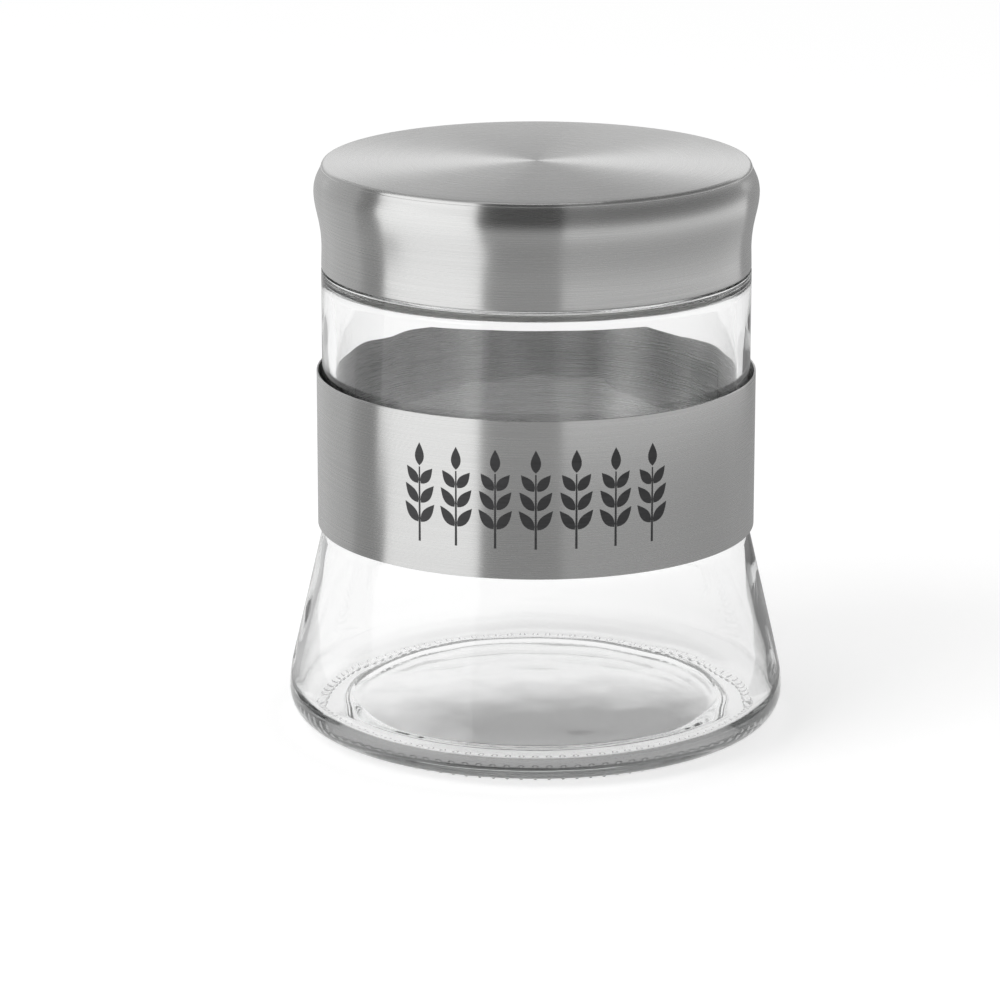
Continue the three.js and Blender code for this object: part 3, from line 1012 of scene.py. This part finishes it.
def sprig():
    stem_top = SPRIG_HEIGHT - TOP_LEAF - TOP_LEAF_GAP
    stem = [
        (side * STEM_WIDTH / 2 * (1 - STEM_TAPER * step / STEM_STEPS), 0, stem_top * step / STEM_STEPS)
        for step in range(STEM_STEPS + 1) for side in (-1, 1)
    ]
    shapes = [(stem, 2)]
    for height, length in LEAF_PAIRS:
        for direction in (-1, 1):
            foot = (direction * (STEM_WIDTH / 2 + LEAF_GAP), height)
            shapes.append((leaf(foot, length, direction * LEAF_TILT), 3))
    shapes.append((leaf((0, stem_top + TOP_LEAF_GAP), TOP_LEAF, 0), 3))
    points = []
    faces = []
    for shape, columns in shapes:
        faces += strip_faces(len(points), len(shape) // columns, columns)
        points += shape
    return points, faces


SPRIG_POINTS, SPRIG_FACES = sprig()
print("one sprig:", len(SPRIG_POINTS), "points,", len(SPRIG_FACES), "faces")


# %% The leaf row tree
def leaf_row_tree():
    tree, given, size = geometry_tree("Leaf row", "Count", "Spacing", "Height", "Band radius", "Material")
    width = (size["Count"] - 1) * size["Spacing"]
    line = add_node(
        tree, "GeometryNodeMeshLine", Count=size["Count"],
        Start_Location=combine(tree, width * -0.5, 0.0, size["Height"]),
        Offset=combine(tree, size["Spacing"], 0.0, 0.0),
    )
    row = add_node(
        tree, "GeometryNodeInstanceOnPoints", Points=line.outputs[0], Instance=given["Geometry"],
    )
    flat = add_node(tree, "GeometryNodeRealizeInstances", Geometry=row.outputs[0])
    along, _, height = split(tree, tree.nodes.new("GeometryNodeInputPosition").outputs[0])
    radius = size["Band radius"]
    turn = along / radius
    rolled = combine(tree, turn.math("SINE") * radius, turn.math("COSINE") * radius * -1.0, height)
    curved = add_node(tree, "GeometryNodeSetPosition", Geometry=flat.outputs[0], Position=rolled)
    give_out(tree, curved.outputs[0], given["Material"])
    return tree


LEAF_ROW = leaf_row_tree()
print("Leaf row tree:", len(LEAF_ROW.nodes), "nodes")

# %% Print
SPRIG_COUNT = 7
SPRIG_SPACING = 9.2
SPRIG_FOOT = 55.0
INK_SINK = 0.01
INK_BODY = 0.04

leaf_print = new_piece("leaf_print", SPRIG_POINTS, SPRIG_FACES)
follow(
    leaf_print, LEAF_ROW, count=SPRIG_COUNT, spacing=SPRIG_SPACING * MM, height=SPRIG_FOOT * MM,
    band_radius=(BAND_OUTER - INK_SINK) * MM, material=INK,
)
body = leaf_print.modifiers.new("Ink body", "SOLIDIFY")
body.thickness = INK_BODY * MM
body.offset = 1
settle(leaf_print)
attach(leaf_print, "jar")

# %% [markdown]
# ## The white room
# Glass and steel are made of what they reflect, so the room matters as much as the finish. The floor and
# the world are white for the camera and for what the glass and the steel show of them, and plainer for the
# rest. The floor glows a little more under the jar, because the glass keeps light off it, and less under
# the front of the hollow, so that the disc in the jar's floor shows as a pale grey shape.

# %% World
SKY_LEVEL = 0.72  # what the world gives to surfaces that aren't shiny


def seen_directly(tree):
    """1 for rays that show the background: straight from the camera, mirrored or through glass."""
    path = tree.nodes.new("ShaderNodeLightPath")
    names = ("Is Camera Ray", "Is Glossy Ray", "Is Transmission Ray")
    camera_ray, glossy_ray, glass_ray = (Field(tree, path.outputs[name]) for name in names)
    return (camera_ray + glossy_ray + glass_ray).clamped()


world = bpy.data.worlds.new("studio")
world.use_nodes = True
scene.world = world
sky = world.node_tree.nodes["Background"]
sky.inputs["Color"].default_value = (1, 1, 1, 1)
sky_strength = seen_directly(world.node_tree) * (1 - SKY_LEVEL) + SKY_LEVEL
feed(world.node_tree, sky.inputs["Strength"], sky_strength)
print(f"white world, {SKY_LEVEL} for surfaces that aren't shiny")

# %% Floor
FLOOR_REACH = 6000
FLOOR_DROP = 0.05
FLOOR_GREY = 0.62
FLOOR_LIFT = 0.50
UNDER_LIFT = 0.22
UNDER_RADIUS = 62.0
UNDER_FADE = 10.0
SHADE_PLACE = (12.0, -20.0)
SHADE_SIZE = (48.0, 28.0)
SHADE_EDGE = 2.0
SHADE_MOTTLE = 0.9
SHADE_START = 1.0


def light_finish(name):
    """A material without a surface shader yet."""
    finish = bpy.data.materials.new(name)
    finish.use_nodes = True
    tree = finish.node_tree
    tree.nodes.remove(tree.nodes["Principled BSDF"])
    return finish, tree, tree.nodes["Material Output"].inputs["Surface"]


def floor_finish():
    finish, tree, surface = light_finish("white_floor")
    matt = add_node(tree, "ShaderNodeBsdfDiffuse", Color=(FLOOR_GREY, FLOOR_GREY, FLOOR_GREY, 1))
    place = object_place(tree)
    x, y, _ = (axis / MM for axis in split(tree, place))
    radius = (x * x + y * y).math("SQRT")
    under = ((radius * -1 + UNDER_RADIUS) / UNDER_FADE).clamped()
    hollow = ((radius * -1 + HOLLOW_RADIUS) / SHADE_EDGE).clamped()
    aside, ahead = (
        (axis - middle) / size for axis, middle, size in zip((x, y), SHADE_PLACE, SHADE_SIZE)
    )
    mottle = noise(tree, place, scale=70.0) * SHADE_MOTTLE
    clear = ((aside * aside + ahead * ahead).math("SQRT") + mottle - SHADE_START).clamped()
    shaded = (clear - 1.0) * hollow + 1.0
    strength = seen_directly(tree) * shaded * (under * UNDER_LIFT + FLOOR_LIFT)
    lift = add_node(tree, "ShaderNodeEmission", Strength=strength)
    both = tree.nodes.new("ShaderNodeAddShader")
    tree.links.new(matt.outputs[0], both.inputs[0])
    tree.links.new(lift.outputs[0], both.inputs[1])
    tree.links.new(both.outputs[0], surface)
    return finish


quarters = ((-1, -1), (1, -1), (1, 1), (-1, 1))
corners = [(x * FLOOR_REACH, y * FLOOR_REACH, -FLOOR_DROP) for x, y in quarters]
floor = new_piece("floor", corners, [(0, 1, 2, 3)])
floor.data.materials.append(floor_finish())
floor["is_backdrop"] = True
print("white floor")

# %% [markdown]
# ## Cards and flags
# Round the jar stands a ring of grey and white cards, which only reflections see: they give the steel its
# upright bands of light and dark. The back card, a grey canopy behind and above the lid, is what its flat
# top mirrors, and a pale wall stands further back. A dark ceiling shows only through the glass, in light
# that its walls bend upwards. Two dark flags, cards that lie on the floor on either side, draw the edges of
# the glass. They show through one wall at most, so from other sides they don't lie in the picture as grey
# shapes.

# %% Card sizes
# Rows of the ring of cards: radius and height. The first two lie on the floor in front of the jar.
CARD_ROWS = (
    (75, 0.5), (190, 0.5), (190, 28), (190, 45), (190, 70),
    (190, 96), (190, 150), (190, 245), (190, 420), (190, 700),
)
# Where one card ends and the next begins, in degrees for each row: 0 is the camera's side, left is
# negative.
CARD_EDGES = (
    (-170, -170, -170, -170, -170, -170, -170, -170, -170, -170),
    (-138, -138, -138, -143, -136, -129, -130, -131, -135, -140),
    (-98, -98, -98, -101, -96, -91, -94, -99, -106, -110),
    (-75, -75, -75, -80, -78, -76, -79, -87, -97, -101),
    (-25, -25, -25, -26.5, -25.2, -24, -26, -30, -38, -42),
    (11.5, 11.5, 11.5, 12.5, 11.9, 11.3, 12, 14, 19, 22),
    (129, 129, 129, 134, 128, 122, 124, 126, 128, 130),
    (165, 165, 165, 165, 165, 165, 165, 165, 165, 165),
)
# What share of its light a card has left at its right edge, and how bright it is at each row. A card with
# fewer values than rows ends lower.
CARDS = (
    ("far_left", 1.0, (0.56, 0.56, 0.56, 0.58, 0.58, 0.56, 0.50)),
    ("grey_left", 0.82, (0.60, 0.60, 0.60, 0.62, 0.62, 0.62, 0.56, 0.50, 0.45, 0.45)),
    ("dark_left", 0.78, (0.37, 0.37, 0.37, 0.37, 0.38, 0.39, 0.30, 0.16, 0.11, 0.10)),
    ("softbox", 1.0, (1.12, 1.12, 1.12, 1.14, 1.17, 1.22, 1.34, 1.34, 0.70, 0.15)),
    ("front", 1.0, (0.32, 0.32, 0.32, 0.37, 0.46, 0.62, 0.07, 0.04, 0.04, 0.04)),
    ("right", 0.90, (0.42, 0.42, 0.41, 0.41, 0.50, 1.25, 0.28, 0.17, 0.17, 0.17)),
    ("far_right", 1.0, (0.36, 0.36, 0.36, 0.36, 0.36, 0.36, 0.30)),
)
BACK_ROWS = ((120, 188), (120, 420), (0, 420))
BACK_EDGES = ((122, 122, 0), (231, 231, 360))
BACK_LIGHT = (0.36, 0.34, 0.30)
WALL_ROWS = ((600, 0.5), (600, 420))
WALL_EDGES = ((122, 122), (231, 231))
WALL_LIGHT = (0.88, 0.88)
CEILING_ROWS = ((700, 520), (700, 1000), (0, 1000))
CEILING_EDGES = ((0, 0, 0), (360, 360, 360))
CEILING_LIGHT = (0.10, 0.10, 0.10)
CARD_STEPS = 24
FLAG_CORNERS = ((70, 15), (96, 380), (210, 380), (170, 15))  # beside what shows straight through the glass
FLAG_HEIGHT = 0.4
FLAG_LIGHT_RIGHT = 0.16
FLAG_LIGHT_LEFT = 0.45
ONE_WALL_PASSED = 2.5  # light that went in and out of the glass once
print("a ring of", len(CARDS), "cards with", len(CARD_ROWS), "rows")


# %% Card light
def card_glow():
    """Light as bright as the card's own attribute says."""
    finish, tree, surface = light_finish("card_glow")
    brightness = add_node(tree, "ShaderNodeAttribute", {"attribute_name": "brightness"})
    light = add_node(tree, "ShaderNodeEmission", Strength=brightness.outputs["Fac"])
    tree.links.new(light.outputs[0], surface)
    return finish


def edge_glow():
    """The same, but nothing at all for light that has passed through more than one wall of glass."""
    finish = card_glow()
    finish.name = "edge_glow"
    tree = finish.node_tree
    light_path = tree.nodes.new("ShaderNodeLightPath")
    passed = Field(tree, light_path.outputs["Transmission Depth"])
    clear = tree.nodes.new("ShaderNodeBsdfTransparent")
    either = tree.nodes.new("ShaderNodeMixShader")
    feed(tree, either.inputs[0], passed.math("GREATER_THAN", ONE_WALL_PASSED))
    tree.links.new(tree.nodes["Emission"].outputs[0], either.inputs[1])
    tree.links.new(clear.outputs[0], either.inputs[2])
    tree.links.new(either.outputs[0], tree.nodes["Material Output"].inputs["Surface"])
    return finish


CARD_GLOW = card_glow()
EDGE_GLOW = edge_glow()
print("finishes:", CARD_GLOW.name, EDGE_GLOW.name)


# %% Card helpers
def lit_card(name, points, faces, lights, finish=CARD_GLOW, mirrored=True, through_glass=False):
    """A card that only reflections see, or what shows through the glass, or both."""
    piece = new_piece(f"card_{name}", points, faces)
    brightness = piece.data.attributes.new("brightness", "FLOAT", "POINT")
    brightness.data.foreach_set("value", lights)
    piece.data.materials.append(finish)
    piece.visible_camera = False
    piece.visible_diffuse = False
    piece.visible_glossy = mirrored
    piece.visible_transmission = through_glass
    piece.visible_volume_scatter = False
    piece.visible_shadow = False
    piece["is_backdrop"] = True
    print("card:", piece.name)


def card(name, rows, first, last, light, fade=1.0, **seen):
    """A curved card between two edges."""
    points = []
    lights = []
    for step in range(CARD_STEPS + 1):
        share = step / CARD_STEPS
        for (radius, height), start, end, brightness in zip(rows, first, last, light):
            turn = math.radians(start + (end - start) * share)
            points.append((radius * math.sin(turn), -radius * math.cos(turn), height))
            lights.append(brightness * (1 - share + share * fade))
    lit_card(name, points, strip_faces(0, CARD_STEPS + 1, len(light)), lights, **seen)


def flag(name, side, brightness):
    """A dark card flat on the floor, which draws a line along the edge of the glass."""
    points = [(side * x, y, FLAG_HEIGHT) for x, y in FLAG_CORNERS]
    lights = [brightness] * len(points)
    lit_card(name, points, [(0, 1, 2, 3)], lights, EDGE_GLOW, mirrored=False, through_glass=True)


# %% Cards and flags
for place, (name, fade, light) in enumerate(CARDS):
    card(name, CARD_ROWS, CARD_EDGES[place], CARD_EDGES[place + 1], light, fade)
card("back", BACK_ROWS, *BACK_EDGES, BACK_LIGHT)
card("wall", WALL_ROWS, *WALL_EDGES, WALL_LIGHT)
card("ceiling", CEILING_ROWS, *CEILING_EDGES, CEILING_LIGHT, mirrored=False, through_glass=True)
flag("flag_right", 1, FLAG_LIGHT_RIGHT)
flag("flag_left", -1, FLAG_LIGHT_LEFT)

# %% [markdown]
# ## The lamp
# With the world, one soft lamp from the left front lights whatever isn't shiny, and it casts the jar's
# shadow. It is hidden from reflections, because the cards already stand for all that the steel mirrors.

# %% Lamp
LAMP_PLACE = (-0.9, -0.7, 1.1)  # metres
LAMP_SIZE = 0.9
LAMP_POWER = 9.0

lamp_data = bpy.data.lights.new("soft_lamp", "AREA")
lamp_data.size = LAMP_SIZE
lamp_data.energy = LAMP_POWER
lamp = bpy.data.objects.new("soft_lamp", lamp_data)
lamp.location = LAMP_PLACE
lamp.rotation_euler = (-lamp.location).to_track_quat("-Z", "Y").to_euler()
lamp.visible_glossy = False
scene.collection.objects.link(lamp)
print(f"lamp of {LAMP_POWER} W")

# %% [markdown]
# ## Finish
# Both boxes, of the CAD model and of the finished jar, are printed side by side.

# %% Size and finish
boxes = {"cad": cad_box, "visual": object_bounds()}
for name, box in boxes.items():
    print(name, "box in mm:", [round(value / MM, 2) for corner in box for value in corner])
